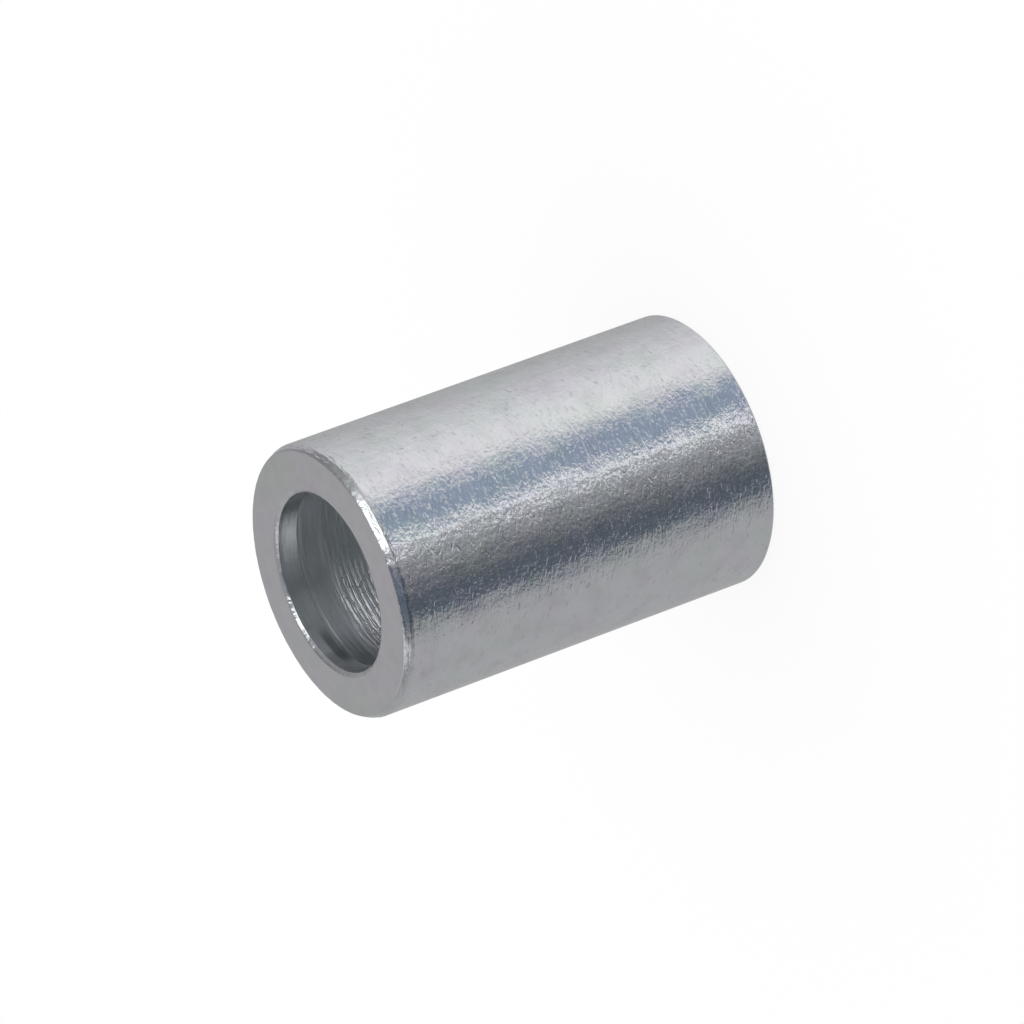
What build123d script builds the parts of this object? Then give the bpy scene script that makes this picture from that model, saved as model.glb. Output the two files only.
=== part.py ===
from build123d import *
import os

# Crimp ferrule for a quarter-inch (DN6) one-wire-braid hydraulic hose, before crimping.
# Millimetres. It stands on the end that the hose enters: the origin is the centre of
# that end face, and +Z runs along the bore to the collar end.

# Shell
outer_diameter = 20.0
length = 30.8
hose_bore_diameter = 14.4

# Collar: the inward lip that the crimp locks into the groove of the hose fitting
collar_height = 0.67
collar_length = 1.9
collar_mouth_chamfer_radial = 0.29
collar_mouth_chamfer_axial = 0.18
collar_back_chamfer = 0.22

# Outer edge at the collar end: a turned chamfer with softened corners
collar_edge_chamfer_radial = 0.35
collar_edge_chamfer_axial = 0.46
collar_edge_corner_radius = 0.10

# Relief: the smooth stretch of bore between the collar and the first grip groove
relief_length = 1.9
relief_corner_radius = 0.20

# Grip grooves: V-shaped, one against the next, so that the sharp rings that are left
# between them bite into the hose
grip_length = 8.4
groove_pitch = 0.42
groove_depth = 0.12

# End that the hose enters
entry_chamfer = 0.7
hose_edge_chamfer = 0.15

outer_radius = outer_diameter / 2
hose_bore_radius = hose_bore_diameter / 2
collar_bore_radius = hose_bore_radius - collar_height
shoulder_z = length - collar_length
grip_top_z = shoulder_z - relief_length
groove_count = round(grip_length / groove_pitch)


def section(corners):
    """A closed face on the XZ plane, from (radius, height) corners."""
    outline = [(radius, 0, height) for radius, height in corners]
    return make_face(Polyline(*outline, close=True))


def rounded(face, corners, radius):
    """The face with an arc of this radius at each of the (radius, height) corners."""
    picked = [
        min(face.vertices(), key=lambda vertex: vertex.distance_to((r, 0, z)))
        for r, z in corners
    ]
    return fillet(picked, radius)


def grip_corners():
    """The zigzag of the grip grooves, from the top one down, as (radius, height) corners."""
    corners = []
    for groove in range(groove_count):
        crest_z = grip_top_z - groove * groove_pitch
        corners.append((hose_bore_radius, crest_z))
        corners.append((hose_bore_radius + groove_depth, crest_z - groove_pitch / 2))
    corners.append((hose_bore_radius, grip_top_z - groove_count * groove_pitch))
    return corners


def wall_section():
    """The cut through one side of the ferrule."""
    chamfer_foot = (outer_radius, length - collar_edge_chamfer_axial)
    chamfer_top = (outer_radius - collar_edge_chamfer_radial, length)
    relief_corner = (hose_bore_radius, shoulder_z)
    face = section(
        [
            (hose_bore_radius + entry_chamfer, 0),
            (outer_radius - hose_edge_chamfer, 0),
            (outer_radius, hose_edge_chamfer),
            chamfer_foot,
            chamfer_top,
            (collar_bore_radius + collar_mouth_chamfer_radial, length),
            (collar_bore_radius, length - collar_mouth_chamfer_axial),
            (collar_bore_radius, shoulder_z + collar_back_chamfer),
            (collar_bore_radius + collar_back_chamfer, shoulder_z),
            relief_corner,
            *grip_corners(),
            (hose_bore_radius, entry_chamfer),
        ]
    )
    face = rounded(face, [chamfer_foot, chamfer_top], collar_edge_corner_radius)
    return rounded(face, [relief_corner], relief_corner_radius)


ferrule = revolve(wall_section(), axis=Axis.Z)
ferrule.label = "ferrule"

os.makedirs("parts", exist_ok=True)
export_step(ferrule, "parts/ferrule.step")
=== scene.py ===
import math

import bmesh
import bpy
from mathutils import Matrix, Vector, noise as noise_of


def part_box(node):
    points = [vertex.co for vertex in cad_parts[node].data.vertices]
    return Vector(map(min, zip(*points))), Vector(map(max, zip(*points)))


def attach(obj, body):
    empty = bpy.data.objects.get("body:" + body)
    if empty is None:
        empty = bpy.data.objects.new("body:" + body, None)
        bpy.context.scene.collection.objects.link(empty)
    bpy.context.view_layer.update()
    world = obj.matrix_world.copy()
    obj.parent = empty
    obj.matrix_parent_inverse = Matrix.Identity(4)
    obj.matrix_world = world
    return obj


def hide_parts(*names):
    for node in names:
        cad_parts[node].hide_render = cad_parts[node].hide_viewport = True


# A zinc-plated crimp ferrule, standing on the end that the hose enters. Lengths are in
# millimetres, and MM turns them into metres where something is made.
MM = 0.001

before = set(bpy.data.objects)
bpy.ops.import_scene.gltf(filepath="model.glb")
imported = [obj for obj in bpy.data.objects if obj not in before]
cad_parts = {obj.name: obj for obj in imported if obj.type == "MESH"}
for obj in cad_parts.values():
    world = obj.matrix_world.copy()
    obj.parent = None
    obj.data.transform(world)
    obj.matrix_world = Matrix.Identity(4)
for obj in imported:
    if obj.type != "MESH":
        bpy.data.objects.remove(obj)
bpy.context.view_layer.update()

# The ferrule's sizes are the CAD model's, and its outside comes from that model's box
low_corner, high_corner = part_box("ferrule")
OUTER_RADIUS = round(high_corner.x / MM, 3)
LENGTH = round((high_corner.z - low_corner.z) / MM, 3)
HOSE_BORE_RADIUS = 7.2
COLLAR_BORE_RADIUS = 6.53
COLLAR_LENGTH = 1.9
MOUTH_CHAMFER = (0.29, 0.18)
COLLAR_BACK_CHAMFER = 0.22
RELIEF_LENGTH = 1.9
RELIEF_ROUNDING = 0.20
GRIP_LENGTH = 8.4
GROOVE_PITCH = 0.42
GROOVE_DEPTH = 0.12
ENTRY_CHAMFER = 0.7
HOSE_EDGE_CHAMFER = 0.15

SHOULDER_Z = LENGTH - COLLAR_LENGTH
GRIP_TOP_Z = SHOULDER_Z - RELIEF_LENGTH
MIDDLE_OF_WALL = (HOSE_BORE_RADIUS + OUTER_RADIUS) / 2

# A shallow mark that the boring tool has left round the relief
TOOL_MARK_DEPTH = 0.028
TOOL_MARK_WIDTH = 0.26
TOOL_MARK_FROM_SHOULDER = 0.38

# What tumbling has made of the CAD model's outer chamfer: a rounded rim, then two flats
# that end at these distances (across, along) from the rim of the collar face
EDGE_FLATS = [(0.245, 0.475), (0.32, 0.70)]

# Softening that tumbling and plating leave on the turned edges
EDGE_ROUNDING = 0.20
FLAT_ROUNDING = 0.06
MOUTH_RIM_ROUNDING = 0.50
MOUTH_ROUNDING = 0.08
SMALL_ROUNDING = 0.03

# Most that a rounding may take of the shorter straight beside it
LARGEST_ROUNDING_SHARE = 0.45

# Fineness of the mesh. A straight longer than the shortest held one also gets a point this
# holding distance from each of its ends.
LARGE_ARC_STEPS = 5
SMALL_ARC_STEPS = 2
SHORTEST_HELD_RUN = 0.3
HOLDING_DISTANCE = 0.03
STEPS_ROUND = 400

# Wear of the two edges at the collar end, from tumbling against other parts. Its depth is
# uneven, with bumps this far apart along each axis, and the face between them has none.
WEAR_MEAN = 0.018
WEAR_SPREAD = 0.0225
WEAR_SPACING = (0.5, 0.5, 1.2)
WEAR_REACH = 0.75
MOUTH_WEAR_SHARE = 0.6
MOUTH_WEAR_REACH = MOUTH_CHAMFER[1] + 0.1
UNWORN_TOP = 0.001

# Depth of the grip grooves as a share of the CAD model's: what each millimetre down the
# bore adds, what the bore's lying off centre adds on its deepest side (an azimuth), how
# far the share differs along and between the grooves, and its limits
GROOVE_SHARE_PER_MM = 0.20
GROOVE_SHARE_OFF_CENTRE = 0.22
DEEPEST_SIDE = 107
GROOVE_SHARE_SPREAD = 0.60
GROOVE_SHARE_SPACING = (2.8, 2.8, 0.6)
GROOVE_SHARE_LIMITS = (0.0, 1.2)

# Camera, found by fitting the photograph's outline
FOCAL_LENGTH_IN_PIXELS = 8000
IMAGE_SIDE = 1024
SENSOR_WIDTH = 36
CAMERA_DISTANCE = 559.2 * MM
CAMERA_ELEVATION = math.radians(27.83)
CAMERA_ROLL = math.radians(-110.07)
PART_CENTRE_OFF_AIM = (0.31, 3.71)


# Mesh


def rounded_outline(corners):
    """Points of a closed outline from (radius, height, rounding) corners.

    The holding points of a straight keep the smooth shading of the edges beside it back
    from the flat itself.
    """
    arcs = []
    for i, (radius, height, rounding) in enumerate(corners):
        here = Vector((radius, height))
        before = Vector(corners[i - 1][:2])
        after = Vector(corners[(i + 1) % len(corners)][:2])
        back = (before - here).normalized()
        ahead = (after - here).normalized()
        half_angle = back.angle(ahead) / 2
        shorter = min((before - here).length, (after - here).length)
        room = LARGEST_ROUNDING_SHARE * shorter
        reach = min(rounding / math.tan(half_angle), room)
        arc_radius = reach * math.tan(half_angle)
        centre = here + (back + ahead).normalized() * (arc_radius / math.sin(half_angle))
        start = here + back * reach - centre
        end = here + ahead * reach - centre
        turn = start.angle_signed(end)
        steps = LARGE_ARC_STEPS if rounding > SMALL_ROUNDING else SMALL_ARC_STEPS
        arcs.append(
            [
                centre + Matrix.Rotation(-turn * step / steps, 2) @ start
                for step in range(steps + 1)
            ]
        )
    points = []
    for i, arc in enumerate(arcs):
        points += arc
        next_start = arcs[(i + 1) % len(arcs)][0]
        run = next_start - arc[-1]
        if run.length > SHORTEST_HELD_RUN:
            hold = run.normalized() * HOLDING_DISTANCE
            points += [arc[-1] + hold, next_start - hold]
    return points


def grip_corners():
    """The zigzag of the grip grooves, from the top one down."""
    corners = []
    crest_z = GRIP_TOP_Z
    for _ in range(round(GRIP_LENGTH / GROOVE_PITCH)):
        corners.append((HOSE_BORE_RADIUS, crest_z, SMALL_ROUNDING))
        root_z = crest_z - GROOVE_PITCH / 2
        corners.append((HOSE_BORE_RADIUS + GROOVE_DEPTH, root_z, SMALL_ROUNDING))
        crest_z -= GROOVE_PITCH
    corners.append((HOSE_BORE_RADIUS, crest_z, SMALL_ROUNDING))
    return corners


def ferrule_outline():
    """The half-section, from the lead-in chamfer out, up the wall and down the bore."""
    mouth_radial, mouth_axial = MOUTH_CHAMFER
    rim_radius = OUTER_RADIUS - EDGE_FLATS[-1][0]
    mark_z = SHOULDER_Z - TOOL_MARK_FROM_SHOULDER
    edge_corners = [
        (rim_radius + across, LENGTH - along, FLAT_ROUNDING)
        for across, along in reversed(EDGE_FLATS)
    ]
    corners = [
        (HOSE_BORE_RADIUS + ENTRY_CHAMFER, 0, SMALL_ROUNDING),
        (OUTER_RADIUS - HOSE_EDGE_CHAMFER, 0, SMALL_ROUNDING),
        (OUTER_RADIUS, HOSE_EDGE_CHAMFER, SMALL_ROUNDING),
        *edge_corners,
        (rim_radius, LENGTH, EDGE_ROUNDING),
        (COLLAR_BORE_RADIUS + mouth_radial, LENGTH, MOUTH_RIM_ROUNDING),
        (COLLAR_BORE_RADIUS, LENGTH - mouth_axial, MOUTH_ROUNDING),
        (COLLAR_BORE_RADIUS, SHOULDER_Z + COLLAR_BACK_CHAMFER, SMALL_ROUNDING),
        (COLLAR_BORE_RADIUS + COLLAR_BACK_CHAMFER, SHOULDER_Z, SMALL_ROUNDING),
        (HOSE_BORE_RADIUS, SHOULDER_Z, RELIEF_ROUNDING),
        (HOSE_BORE_RADIUS, mark_z + TOOL_MARK_WIDTH / 2, SMALL_ROUNDING),
        (HOSE_BORE_RADIUS + TOOL_MARK_DEPTH, mark_z, SMALL_ROUNDING),
        (HOSE_BORE_RADIUS, mark_z - TOOL_MARK_WIDTH / 2, SMALL_ROUNDING),
        *grip_corners(),
        (HOSE_BORE_RADIUS, ENTRY_CHAMFER, SMALL_ROUNDING),
    ]
    return rounded_outline(corners)


def noise_at(place, spacing):
    """Noise from about -1 to 1, with bumps this far apart along each axis."""
    return noise_of.noise(Vector(c / gap for c, gap in zip(place, spacing)))


def groove_share(place, down_grip, angle):
    """How deep a groove is here, as a share of the CAD model's depth."""
    share = GROOVE_SHARE_PER_MM * down_grip
    share += GROOVE_SHARE_OFF_CENTRE * math.cos(angle - math.radians(DEEPEST_SIDE))
    share += GROOVE_SHARE_SPREAD * noise_at(place, GROOVE_SHARE_SPACING)
    lowest, highest = GROOVE_SHARE_LIMITS
    return min(highest, max(lowest, share))


def as_made(radius, height, angle):
    """Where a point of the outline really lies at this angle round the axis."""
    along_x, along_y = math.cos(angle), math.sin(angle)
    place = Vector((radius * along_x, radius * along_y, height))
    down_grip = GRIP_TOP_Z - height
    if 0 < down_grip < GRIP_LENGTH and radius < MIDDLE_OF_WALL:
        share = groove_share(place, down_grip, angle)
        radius = HOSE_BORE_RADIUS + (radius - HOSE_BORE_RADIUS) * share
        return Vector((radius * along_x, radius * along_y, height))
    depth_down = LENGTH - height
    if depth_down > WEAR_REACH or depth_down < UNWORN_TOP:
        return place
    wear = max(0, WEAR_MEAN + WEAR_SPREAD * noise_at(place, WEAR_SPACING))
    outward = Vector((along_x, along_y, 0))
    if radius > OUTER_RADIUS - WEAR_REACH:
        return place - outward * wear
    if depth_down < MOUTH_WEAR_REACH:
        return place + outward * wear * MOUTH_WEAR_SHARE
    return place


def lathe(name, outline):
    """A smooth closed body of revolution about Z, from an outline in millimetres."""
    shape = bmesh.new()
    rings = []
    for step in range(STEPS_ROUND):
        angle = math.tau * step / STEPS_ROUND
        rings.append(
            [
                shape.verts.new(as_made(radius, height, angle) * MM)
                for radius, height in outline
            ]
        )
    for step, ring in enumerate(rings):
        next_ring = rings[(step + 1) % STEPS_ROUND]
        for i in range(len(ring)):
            face = shape.faces.new((ring[i - 1], ring[i], next_ring[i], next_ring[i - 1]))
            face.smooth = True
    bmesh.ops.recalc_face_normals(shape, faces=shape.faces)
    mesh = bpy.data.meshes.new(name)
    shape.to_mesh(mesh)
    shape.free()
    body = bpy.data.objects.new(name, mesh)
    bpy.context.scene.collection.objects.link(body)
    return body


# Materials

# Patches inside, each as an azimuth, a spread in degrees and the depths of its top and
# foot below the collar face: a painted highlight, where the plating is made less metallic
# so that the white light brightens it, and where the boring tool has scored the grip. The
# scoring sets in slowly between two depths.
PAINTED_HIGHLIGHT_PATCH = (51, 23, 0.65, 2.3)
PAINTED_HIGHLIGHT_LESS_METALLIC = 0.45
SCORED_PATCH = (DEEPEST_SIDE, 54, 4.0, LENGTH)
SCORED_FROM = 3.4
SCORED_FULLY_FROM = 5.4
SCORED_LINES_FACTOR = 2.0
SCORED_MARKS_DEPTH = 0.052
PATCH_FADE = 0.3
# The turning lines grow by this share of their height over a stretch at the grip's top
GRIP_LINES_FACTOR = 0.5
GRIP_LINES_FROM = GRIP_TOP_Z + 0.8
GRIP_LINES_FULLY_FROM = GRIP_TOP_Z - 1.0


def direction_to(azimuth, elevation):
    """The unit vector that points this way, from degrees."""
    azimuth, elevation = math.radians(azimuth), math.radians(elevation)
    flat = math.cos(elevation)
    return (flat * math.cos(azimuth), flat * math.sin(azimuth), math.sin(elevation))


def add_node(tree, kind, inputs=None, **settings):
    """A node with its settings made and its inputs set to values or linked to sockets."""
    node = tree.nodes.new(kind)
    for name, value in settings.items():
        setattr(node, name, value)
    for key, value in (inputs or {}).items():
        if isinstance(value, bpy.types.NodeSocket):
            tree.links.new(value, node.inputs[key])
        else:
            node.inputs[key].default_value = value
    return node


def math_node(tree, operation, *values):
    """The result of a calculation on numbers or sockets."""
    node = add_node(tree, "ShaderNodeMath", dict(enumerate(values)), operation=operation)
    return node.outputs[0]


def vector_node(tree, operation, *values):
    """The result of a calculation on vectors, a number where the operation gives one."""
    node = add_node(
        tree, "ShaderNodeVectorMath", dict(enumerate(values)), operation=operation
    )
    return node.outputs["Value" if operation in ("LENGTH", "DOT_PRODUCT") else "Vector"]


def weighted_sum(tree, parts):
    """The sum of the (value, weight) parts."""
    total = 0.0
    for value, weight in parts:
        total = math_node(tree, "MULTIPLY_ADD", value, weight, total)
    return total


def eased(tree, value, start, end, low=0.0, high=1.0):
    """A value that passes smoothly from low at start to high at end."""
    node = add_node(
        tree,
        "ShaderNodeMapRange",
        {"Value": value, "From Min": start, "From Max": end, "To Min": low, "To Max": high},
        interpolation_type="SMOOTHSTEP",
    )
    return node.outputs[0]


def noise(tree, place, scale, detail):
    """Smooth noise from 0 to 1, with about this many bumps to a unit of the place."""
    node = add_node(
        tree, "ShaderNodeTexNoise", {"Vector": place, "Scale": scale, "Detail": detail}
    )
    return node.outputs["Fac"]


def ramp(tree, value, stops):
    """The colour at a value between 0 and 1, from (position, colour) stops."""
    node = add_node(tree, "ShaderNodeValToRGB", {"Fac": value})
    elements = node.color_ramp.elements
    elements.remove(elements[-1])
    for i, (position, colour) in enumerate(stops):
        element = elements[0] if i == 0 else elements.new(position)
        element.position = position
        element.color = (*colour, 1)
    return node.outputs["Color"]


def mixed(tree, share, first, second, blend_type="MIX"):
    """The first colour with this share of the second blended in."""
    node = add_node(
        tree,
        "ShaderNodeMix",
        {"Factor": share, 6: first, 7: second},
        data_type="RGBA",
        blend_type=blend_type,
    )
    return node.outputs[2]


def new_material(name):
    """A material and its empty node tree."""
    material = bpy.data.materials.new(name)
    material.use_nodes = True
    material.node_tree.nodes.clear()
    return material, material.node_tree


def unrolled_place(tree, radius):
    """Millimetres around a wall of this radius and up it, with the seam at the back."""
    place = add_node(tree, "ShaderNodeTexCoord").outputs["Object"]
    axes = add_node(tree, "ShaderNodeSeparateXYZ", {"Vector": place})
    forward = math_node(tree, "MULTIPLY", axes.outputs["Y"], -1.0)
    turn = math_node(tree, "ARCTAN2", axes.outputs["X"], forward)
    around = math_node(tree, "MULTIPLY", turn, radius)
    up = math_node(tree, "DIVIDE", axes.outputs["Z"], MM)
    return add_node(tree, "ShaderNodeCombineXYZ", {"X": around, "Y": up}).outputs[0], up


def part_place(tree):
    """Millimetres along the part's own three axes."""
    place = add_node(tree, "ShaderNodeTexCoord").outputs["Object"]
    return vector_node(tree, "DIVIDE", place, (MM, MM, MM))


def dents(tree, place, spacing, length, width, slant_spread, shift):
    """From 0 to 1, the depth of one oval dent in each random cell of this spacing.

    Each dent's slant differs from the direction around by up to half the spread, which is
    in degrees, and its size and depth differ too. The shift keeps one set of dents apart
    from the next.
    """
    slant_spread = math.radians(slant_spread)
    moved = vector_node(tree, "ADD", place, (shift, 1.7 * shift, 0))
    cells = add_node(
        tree,
        "ShaderNodeTexVoronoi",
        {"Vector": moved, "Scale": 1 / spacing},
        voronoi_dimensions="2D",
    )
    offset = vector_node(tree, "SUBTRACT", moved, cells.outputs["Position"])
    chance = add_node(tree, "ShaderNodeSeparateColor", {"Color": cells.outputs["Color"]})
    slant = math_node(
        tree, "MULTIPLY_ADD", chance.outputs["Red"], slant_spread, -slant_spread / 2
    )
    turned = add_node(
        tree,
        "ShaderNodeVectorRotate",
        {"Vector": offset, "Angle": slant},
        rotation_type="Z_AXIS",
    ).outputs[0]
    oval = vector_node(tree, "MULTIPLY", turned, (2 / length, 2 / width, 0))
    reach = vector_node(tree, "LENGTH", oval)
    size = math_node(tree, "MULTIPLY_ADD", chance.outputs["Green"], 0.7, 0.4)
    bowl = eased(tree, math_node(tree, "DIVIDE", reach, size), 1.0, 0.2)
    bowl = math_node(tree, "MULTIPLY", bowl, size)
    return math_node(tree, "MULTIPLY", bowl, chance.outputs["Blue"])


def bumped(tree, depth, distance):
    """The normal over a relief, given in units of this distance."""
    bump = add_node(
        tree, "ShaderNodeBump", {"Height": depth, "Strength": 1.0, "Distance": distance}
    )
    return bump.outputs["Normal"]


def zinc_shader(tree, colour, tints, roughness, normal, metallic=1.0):
    """The metal itself, where tints is a colour near white that varies over it."""
    base = mixed(tree, 1.0, (*colour, 1), tints, "MULTIPLY")
    shader = add_node(
        tree,
        "ShaderNodeBsdfPrincipled",
        {
            "Base Color": base,
            "Metallic": metallic,
            "Roughness": roughness,
            "Normal": normal,
        },
    )
    add_node(tree, "ShaderNodeOutputMaterial", {"Surface": shader.outputs["BSDF"]})


def cloudy_tints(tree, place, scale, contrast):
    """Blotches and a faint iridescence, as thin zinc plating has."""
    light_and_dark = ramp(
        tree,
        noise(tree, place, scale, detail=6.0),
        [(0.30, (1 - contrast,) * 3), (0.50, (0.97,) * 3), (0.70, (1.0,) * 3)],
    )
    hues = ramp(
        tree,
        noise(tree, place, scale=0.28, detail=2.0),
        [(0.32, (1.0, 0.965, 1.0)), (0.50, (1.0, 1.0, 1.0)), (0.66, (0.97, 1.0, 0.955))],
    )
    return mixed(tree, 1.0, light_and_dark, hues, "MULTIPLY")


def wall_material(name, relief):
    """Outside: plated and tumbled, so it is full of short nicks, most of them along the
    turning. The relief is a factor on the depth of all of them.
    """
    material, tree = new_material(name)
    place, _ = unrolled_place(tree, OUTER_RADIUS)
    combed = vector_node(tree, "MULTIPLY", place, (0.30, 1.1, 0))
    long_nicks = dents(
        tree, place, spacing=0.48, length=1.00, width=0.21, slant_spread=55, shift=0
    )
    stray_nicks = dents(
        tree, place, spacing=0.75, length=0.50, width=0.23, slant_spread=180, shift=41
    )
    short_dents = dents(
        tree, place, spacing=0.30, length=0.40, width=0.16, slant_spread=180, shift=83
    )
    grain = noise(tree, combed, scale=4.5, detail=1.0)
    pebbles = noise(tree, combed, scale=1.6, detail=1.0)
    speckles = noise(tree, place, scale=3.6, detail=1.0)
    waves = noise(tree, place, scale=0.35, detail=1.0)
    depth = weighted_sum(
        tree,
        [
            (long_nicks, -0.025),
            (stray_nicks, -0.005),
            (short_dents, -0.010),
            (grain, 0.028),
            (pebbles, 0.045),
            (speckles, 0.022),
            (waves, 0.09),
        ],
    )
    # Painted shade: the stray nicks are darkened with their depth.
    painted_shade_in_nicks = math_node(tree, "MULTIPLY", stray_nicks, 0.08)
    tints = mixed(
        tree, painted_shade_in_nicks, cloudy_tints(tree, place, scale=0.5, contrast=0.11), (0.45, 0.45, 0.46, 1)
    )
    zinc_shader(
        tree,
        colour=(0.71, 0.725, 0.76),
        tints=tints,
        roughness=eased(tree, grain, 0.3, 0.7, low=0.13, high=0.21),
        normal=bumped(tree, depth, relief * MM),
    )
    return material


def face_material():
    """Collar face: faced off smooth, so it has only faint turning lines and blotches."""
    material, tree = new_material("zinc_face")
    place = part_place(tree)
    radius = vector_node(tree, "LENGTH", vector_node(tree, "MULTIPLY", place, (1, 1, 0)))
    outward = add_node(tree, "ShaderNodeCombineXYZ", {"X": radius}).outputs[0]
    rings = noise(tree, outward, scale=9.0, detail=2.0)
    scuffs = dents(
        tree, place, spacing=1.6, length=0.9, width=0.12, slant_spread=360, shift=12
    )
    depth = weighted_sum(tree, [(rings, 0.0012), (scuffs, -0.004)])
    zinc_shader(
        tree,
        colour=(0.73, 0.722, 0.76),
        tints=cloudy_tints(tree, place, scale=1.0, contrast=0.07),
        roughness=0.30,
        normal=bumped(tree, depth, MM),
    )
    return material


def patch(tree, up, azimuth, spread, top, foot):
    """A soft-edged patch: 1 in its middle, 0 beyond this angle from the azimuth and a fade
    beyond its top and foot, which are depths below the collar face.
    """
    out = vector_node(tree, "MULTIPLY", part_place(tree), (1, 1, 0))
    out = vector_node(tree, "NORMALIZE", out)
    towards_it = vector_node(tree, "DOT_PRODUCT", out, direction_to(azimuth, 0))
    inside = eased(tree, towards_it, math.cos(math.radians(spread)), 1.0)
    top_z, foot_z = LENGTH - top, LENGTH - foot
    under_top = eased(tree, up, top_z + PATCH_FADE, top_z)
    over_foot = eased(tree, up, foot_z - PATCH_FADE, foot_z)
    inside = math_node(tree, "MULTIPLY", inside, under_top)
    return math_node(tree, "MULTIPLY", inside, over_foot)


def bore_material(name, colour, metallic, roughness, line_height, painted_shade_patches):
    """Inside: bored, so fine turning lines run around it.

    Shade is painted into the colour in the patches of painted shade, each given as for patch
    and followed by the share of its brightness that is left there.
    """
    material, tree = new_material(name)
    place, up = unrolled_place(tree, HOSE_BORE_RADIUS)
    stretched = vector_node(tree, "MULTIPLY", part_place(tree), (0.07, 0.07, 1))
    lines = noise(tree, stretched, scale=6.0, detail=4.0)
    streaked = vector_node(tree, "MULTIPLY", place, (0.25, 1, 0))
    chatter = dents(
        tree, streaked, spacing=0.20, length=0.24, width=0.12, slant_spread=5.73, shift=5
    )
    pits = dents(
        tree, place, spacing=0.26, length=0.30, width=0.14, slant_spread=180, shift=17
    )
    in_grip = eased(tree, up, GRIP_LINES_FROM, GRIP_LINES_FULLY_FROM)
    set_in = eased(tree, up, LENGTH - SCORED_FROM, LENGTH - SCORED_FULLY_FROM)
    scored = math_node(tree, "MULTIPLY", patch(tree, up, *SCORED_PATCH), set_in)
    line_factor = math_node(tree, "MULTIPLY_ADD", in_grip, GRIP_LINES_FACTOR, 1.0)
    line_factor = math_node(tree, "MULTIPLY_ADD", scored, SCORED_LINES_FACTOR, line_factor)
    height = math_node(tree, "MULTIPLY", line_factor, line_height)
    marks = math_node(tree, "MULTIPLY", math_node(tree, "MAXIMUM", chatter, pits), scored)
    depth = weighted_sum(tree, [(lines, height), (marks, -SCORED_MARKS_DEPTH)])

    # Painted shade: the colour is darker where the turning lines are low.
    tints = ramp(tree, lines, [(0.35, (0.88, 0.88, 0.88)), (0.65, (1.0, 1.0, 1.0))])
    # Painted shade: the colour is darkened in each of these patches.
    for azimuth, spread, top, foot, left in painted_shade_patches:
        painted_shade_share = patch(tree, up, azimuth, spread, top, foot)
        painted_shade_colour = (0.97 * left, left, 0.99 * left, 1)
        tints = mixed(tree, painted_shade_share, tints, painted_shade_colour, "MULTIPLY")
    cloudy = eased(tree, lines, 0.3, 0.6, low=0.6, high=1.0)
    # Painted highlight: the plating is made less metallic in this patch, so that the white
    # light brightens it.
    painted_highlight = math_node(tree, "MULTIPLY", patch(tree, up, *PAINTED_HIGHLIGHT_PATCH), cloudy)
    metallic = math_node(tree, "MULTIPLY_ADD", painted_highlight, -PAINTED_HIGHLIGHT_LESS_METALLIC, metallic)
    zinc_shader(tree, colour, tints, roughness, bumped(tree, depth, MM), metallic)
    return material


# Object

ferrule = lathe("ferrule_turned", ferrule_outline())
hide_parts("ferrule")
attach(ferrule, "root")

# The materials' places in the mesh, in the order in which they are made
WALL, EDGE, FACE, COLLAR, BORE = range(5)
for material in (
    wall_material("zinc_wall", relief=1.0),
    wall_material("zinc_edge", relief=0.6),
    face_material(),
    # Inside, the same plating gets lighter colours than the wall's and is less metallic, so
    # that the white light lifts it: painted light that brightens the bore.
    bore_material(
        "zinc_collar",
        colour=(0.87, 0.905, 0.935),
        metallic=0.88,
        roughness=0.17,
        line_height=0.012,
        # Patches of painted shade: azimuth, spread, top, foot and the share of brightness
        # left.
        painted_shade_patches=[
            (88, 46, 0, 3, 0.57),
            (33, 17, 0, 3, 0.66),
            (132, 20, 1.1, 1.5, 0.42),
        ],
    ),
    bore_material(
        "zinc_bore",
        colour=(0.905, 0.917, 0.945),
        metallic=0.965,
        roughness=0.33,
        line_height=0.045,
        # Patches of painted shade: azimuth, spread, top, foot and the share of brightness
        # left.
        painted_shade_patches=[
            (76, 50, 0, LENGTH, 0.57),
            (66, 36, 4.3, LENGTH, 0.85),
            (138, 24, 1, 3.4, 0.75),
        ],
    ),
):
    ferrule.data.materials.append(material)


def finish_at(polygon):
    """Which of the materials covers this part of the turned surface."""
    x, y, z = polygon.center / MM
    radius = math.hypot(x, y)
    level = abs(polygon.normal.z) > 0.99
    at_an_end = min(z, LENGTH - z) <= 0.01
    if level and at_an_end:
        return FACE
    if radius > HOSE_BORE_RADIUS + ENTRY_CHAMFER:
        return EDGE if z > LENGTH - EDGE_FLATS[-1][1] else WALL
    if z > LENGTH - MOUTH_CHAMFER[1]:
        return EDGE
    if z > SHOULDER_Z + COLLAR_BACK_CHAMFER:
        return COLLAR
    return BORE


for polygon in ferrule.data.polygons:
    polygon.material_index = finish_at(polygon)


# Studio

NEUTRAL = (1.0, 1.0, 1.0)
FAINTLY_WARM = (1.01, 1.0, 0.965)
FAINTLY_COOL = (0.97, 1.0, 1.035)
COOL = (0.80, 0.98, 1.22)
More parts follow.
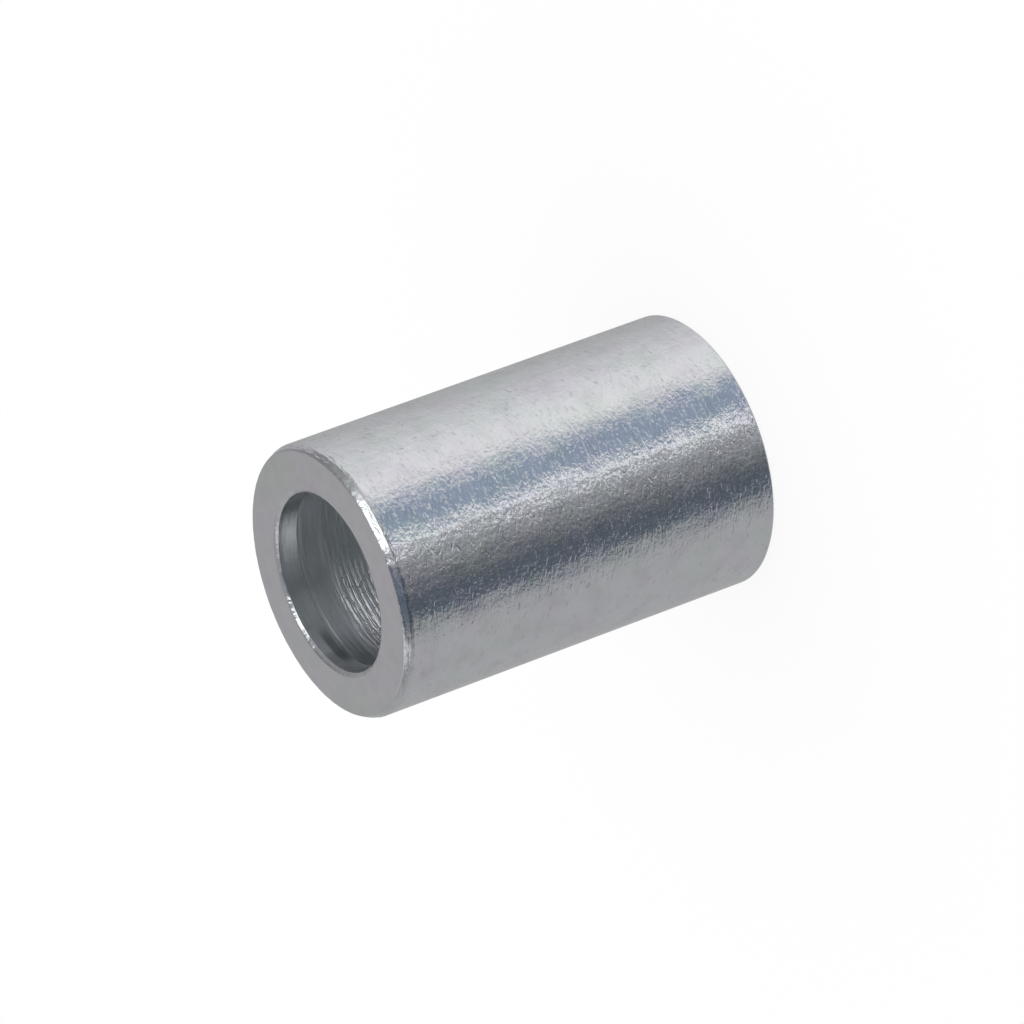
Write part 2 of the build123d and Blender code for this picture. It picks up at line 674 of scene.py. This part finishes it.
# What the metal mirrors: (azimuth, level, tint) of soft panels and dark gaps that stand
# all round it, in rings from below the horizon to overhead
LOWER_PANELS = [
    (101, 0.52, NEUTRAL),
    (90, 0.51, NEUTRAL),
    (70, 0.47, NEUTRAL),
    (50, 0.54, NEUTRAL),
    (30, 0.65, NEUTRAL),
    (10, 0.79, NEUTRAL),
    (-10, 0.91, NEUTRAL),
    (-30, 1.03, FAINTLY_WARM),
    (-39, 0.78, NEUTRAL),
    (-50, 0.42, COOL),
    (-70, 0.40, COOL),
    (-74, 0.52, FAINTLY_COOL),
    (-77, 1.22, NEUTRAL),
    (-82, 1.22, NEUTRAL),
    (-85, 0.55, FAINTLY_COOL),
    (-92, 0.43, FAINTLY_COOL),
    (-110, 0.24, FAINTLY_COOL),
    (-128, 0.115, COOL),
    (-140, 0.155, COOL),
    (-150, 0.37, FAINTLY_COOL),
    (-160, 0.48, NEUTRAL),
    (-180, 0.49, NEUTRAL),
    (-220, 0.48, NEUTRAL),
    (-250, 0.455, NEUTRAL),
]
GLOW_PANELS = [
    (60, 0.41, NEUTRAL),
    (30, 0.62, NEUTRAL),
    (10, 0.74, NEUTRAL),
    (-10, 0.86, NEUTRAL),
    (-30, 0.92, NEUTRAL),
    (-45, 0.75, FAINTLY_COOL),
    (-60, 0.85, FAINTLY_COOL),
    (-80, 1.00, NEUTRAL),
    (-95, 0.50, NEUTRAL),
    (-110, 0.27, NEUTRAL),
    (-125, 0.17, NEUTRAL),
    (-140, 0.16, NEUTRAL),
    (-150, 0.34, NEUTRAL),
    (-170, 0.46, NEUTRAL),
    (-220, 0.47, NEUTRAL),
    (-250, 0.45, NEUTRAL),
]
HORIZON_PANELS = [
    (60, 0.35, NEUTRAL),
    (41, 0.29, NEUTRAL),
    (5, 0.30, NEUTRAL),
    (-12, 0.37, NEUTRAL),
    (-30, 0.50, NEUTRAL),
    (-49, 0.50, NEUTRAL),
    (-58, 0.38, FAINTLY_COOL),
    (-68, 0.22, FAINTLY_COOL),
    (-79, 0.20, FAINTLY_COOL),
    (-90, 0.17, FAINTLY_COOL),
    (-100, 0.13, FAINTLY_COOL),
    (-111, 0.10, COOL),
    (-121, 0.065, COOL),
    (-132, 0.06, COOL),
    (-148, 0.10, FAINTLY_COOL),
    (-157, 0.19, FAINTLY_COOL),
    (-166, 0.31, NEUTRAL),
    (-185, 0.31, NEUTRAL),
    (-205, 0.37, NEUTRAL),
    (-250, 0.42, NEUTRAL),
]
BAND_PANELS = [
    (90, 0.46, NEUTRAL),
    (45, 0.31, NEUTRAL),
    (16, 0.25, NEUTRAL),
    (1, 0.29, NEUTRAL),
    (-12, 0.36, NEUTRAL),
    (-29, 0.72, NEUTRAL),
    (-40, 1.30, NEUTRAL),
    (-67, 1.40, NEUTRAL),
    (-79, 1.10, NEUTRAL),
    (-90, 0.50, FAINTLY_COOL),
    (-100, 0.34, FAINTLY_COOL),
    (-111, 0.26, COOL),
    (-121, 0.175, COOL),
    (-141, 0.17, COOL),
    (-149, 0.27, FAINTLY_COOL),
    (-157, 0.44, NEUTRAL),
    (-166, 0.78, NEUTRAL),
    (-175, 0.75, NEUTRAL),
    (-184, 0.52, NEUTRAL),
    (-205, 0.48, NEUTRAL),
]
HIGH_PANELS = [
    (90, 0.46, NEUTRAL),
    (45, 0.31, NEUTRAL),
    (22, 0.28, NEUTRAL),
    (7, 0.25, NEUTRAL),
    (-9, 0.33, NEUTRAL),
    (-27, 0.52, NEUTRAL),
    (-40, 1.30, NEUTRAL),
    (-67, 1.40, NEUTRAL),
    (-78, 1.10, NEUTRAL),
    (-84, 0.60, NEUTRAL),
    (-90, 0.33, FAINTLY_COOL),
    (-100, 0.21, FAINTLY_COOL),
    (-111, 0.155, COOL),
    (-132, 0.145, COOL),
    (-146, 0.21, COOL),
    (-153, 0.33, FAINTLY_COOL),
    (-161, 0.72, NEUTRAL),
    (-170, 0.98, NEUTRAL),
    (-178, 0.80, NEUTRAL),
    (-187, 0.70, NEUTRAL),
    (-200, 0.50, NEUTRAL),
]
OVERHEAD_PANELS = [
    (60, 0.34, NEUTRAL),
    (10, 0.34, NEUTRAL),
    (-60, 0.34, FAINTLY_COOL),
    (-90, 0.22, FAINTLY_COOL),
    (-111, 0.14, COOL),
    (-136, 0.14, COOL),
    (-156, 0.29, FAINTLY_COOL),
    (-179, 0.80, NEUTRAL),
    (-205, 0.40, NEUTRAL),
    (-230, 0.38, NEUTRAL),
]
ZENITH_PANELS = [
    (60, 0.34, NEUTRAL),
    (10, 0.34, NEUTRAL),
    (-60, 0.30, FAINTLY_COOL),
    (-90, 0.18, COOL),
    (-120, 0.15, COOL),
    (-160, 0.20, FAINTLY_COOL),
    (-190, 0.26, FAINTLY_COOL),
    (-205, 0.34, NEUTRAL),
    (-230, 0.38, NEUTRAL),
]
# Each ring with the heights, as sines of elevation, over which it takes over from the last
RINGS = [
    (LOWER_PANELS, -1.00, -0.99),
    (GLOW_PANELS, -0.32, -0.08),
    (HORIZON_PANELS, 0.02, 0.09),
    (BAND_PANELS, 0.23, 0.31),
    (HIGH_PANELS, 0.47, 0.55),
    (OVERHEAD_PANELS, 0.62, 0.76),
    (ZENITH_PANELS, 0.90, 0.95),
]
# The large softbox, seen from below: its two long edges, each as an azimuth that points
# out of it and the share of the way from the zenith to the horizon at which it ends
SOFTBOX_EDGES = [(180, -0.13), (30.5, 0.365)]
SOFTBOX_SOFTNESS = 0.06
SOFTBOX_FOOT = (0.38, 0.50)
SOFTBOX_LEVEL = 2.0
# (azimuth, elevation, radius in degrees, level) of a round lamp and a round dark gap, and
# the share of the radius within which they are at full level
ROUND_LAMPS = [(151, 55, 8, 0.9), (66, 48, 13, 0.2)]
ROUND_LAMP_CORE = 0.7
TENT_RADIUS = 3.0
# The share of the floor's white that is its own wherever it is seen. The rest is lit, and
# so keeps the shadow.
FLOOR_OWN_WHITE = 0.85


def panel_ring(tree, one_turn, panels):
    """The panels as a colour ramp that runs once round."""
    stops = [
        ((azimuth % 360) / 360, tuple(level * c for c in tint))
        for azimuth, level, tint in panels
    ]
    return ramp(tree, one_turn, sorted(stops))


def studio_tent():
    """The sphere of panels round the part, which only mirroring metal sees."""
    bpy.ops.mesh.primitive_uv_sphere_add(
        segments=96, ring_count=48, radius=TENT_RADIUS, location=(0, 0, 0)
    )
    tent = bpy.context.object
    tent.name = "studio_tent"
    material, tree = new_material("studio_panels")
    place = add_node(tree, "ShaderNodeNewGeometry").outputs["Position"]
    direction = vector_node(tree, "NORMALIZE", place)
    axes = add_node(tree, "ShaderNodeSeparateXYZ", {"Vector": direction})
    turns = math_node(tree, "ARCTAN2", axes.outputs["Y"], axes.outputs["X"])
    one_turn = math_node(tree, "FRACT", math_node(tree, "DIVIDE", turns, math.tau))
    height = axes.outputs["Z"]
    light = (0, 0, 0, 1)
    for panels, start, end in RINGS:
        ring = panel_ring(tree, one_turn, panels)
        light = mixed(tree, eased(tree, height, start, end), light, ring)
    in_softbox = eased(tree, height, *SOFTBOX_FOOT)
    for azimuth, reach in SOFTBOX_EDGES:
        outward = vector_node(tree, "DOT_PRODUCT", direction, direction_to(azimuth, 0))
        inside = eased(
            tree, outward, reach + SOFTBOX_SOFTNESS, reach - SOFTBOX_SOFTNESS
        )
        in_softbox = math_node(tree, "MULTIPLY", in_softbox, inside)
    light = mixed(tree, in_softbox, light, (SOFTBOX_LEVEL, SOFTBOX_LEVEL, SOFTBOX_LEVEL, 1))
    for azimuth, elevation, radius, level in ROUND_LAMPS:
        towards = vector_node(
            tree, "DOT_PRODUCT", direction, direction_to(azimuth, elevation)
        )
        edge = math.cos(math.radians(radius))
        core = math.cos(math.radians(radius * ROUND_LAMP_CORE))
        lit = eased(tree, towards, edge, core)
        light = mixed(tree, lit, light, (level, level, level, 1))
    glow = add_node(tree, "ShaderNodeEmission", {"Color": light, "Strength": 1.0})
    add_node(tree, "ShaderNodeOutputMaterial", {"Surface": glow.outputs["Emission"]})
    tent.data.materials.append(material)
    tent.visible_camera = False
    tent.visible_diffuse = False
    tent.visible_shadow = False
    tent.visible_transmission = False


def studio_floor():
    """White paper that keeps a part of its shadow."""
    bpy.ops.mesh.primitive_plane_add(size=2 * TENT_RADIUS, location=(0, 0, 0))
    plane = bpy.context.object
    plane.name = "studio_floor"
    material, tree = new_material("studio_floor")
    paper = add_node(tree, "ShaderNodeBsdfDiffuse", {"Color": (1, 1, 1, 1)})
    white = add_node(tree, "ShaderNodeEmission", {"Color": (1, 1, 1, 1), "Strength": 1.0})
    rays = add_node(tree, "ShaderNodeLightPath").outputs
    seen = math_node(tree, "ADD", rays["Is Camera Ray"], rays["Is Transmission Ray"])
    seen = math_node(tree, "ADD", seen, rays["Is Glossy Ray"])
    share = math_node(tree, "MULTIPLY", seen, FLOOR_OWN_WHITE)
    both = add_node(
        tree,
        "ShaderNodeMixShader",
        {0: share, 1: paper.outputs[0], 2: white.outputs[0]},
    ).outputs[0]
    add_node(tree, "ShaderNodeOutputMaterial", {"Surface": both})
    plane.data.materials.append(material)
    plane.visible_glossy = False


def white_world():
    world = bpy.data.worlds.new("soft_white")
    world.use_nodes = True
    background = world.node_tree.nodes["Background"]
    background.inputs["Color"].default_value = (1, 1, 1, 1)
    background.inputs["Strength"].default_value = 1.0
    bpy.context.scene.world = world


def photograph_camera():
    """The camera, turned about its line of sight as the photograph's part lies askew."""
    camera = bpy.data.objects.new("camera", bpy.data.cameras.new("camera"))
    bpy.context.scene.collection.objects.link(camera)
    camera.data.sensor_width = SENSOR_WIDTH
    camera.data.lens = FOCAL_LENGTH_IN_PIXELS / IMAGE_SIDE * SENSOR_WIDTH
    level_right = Vector((1, 0, 0))
    level_up = Vector((0, math.sin(CAMERA_ELEVATION), math.cos(CAMERA_ELEVATION)))
    back = Vector((0, -math.cos(CAMERA_ELEVATION), math.sin(CAMERA_ELEVATION)))
    right = level_right * math.cos(CAMERA_ROLL) + level_up * math.sin(CAMERA_ROLL)
    up = level_up * math.cos(CAMERA_ROLL) - level_right * math.sin(CAMERA_ROLL)
    pixel = CAMERA_DISTANCE / FOCAL_LENGTH_IN_PIXELS
    off_right, off_down = PART_CENTRE_OFF_AIM
    centre = Vector((0, 0, LENGTH * MM / 2))
    place = centre + back * CAMERA_DISTANCE + (up * off_down - right * off_right) * pixel
    turn = Matrix((right, up, back)).transposed().to_4x4()
    camera.matrix_world = Matrix.Translation(place) @ turn
    bpy.context.scene.camera = camera


studio_tent()
studio_floor()
white_world()
photograph_camera()
bpy.context.scene.view_settings.view_transform = "Standard"
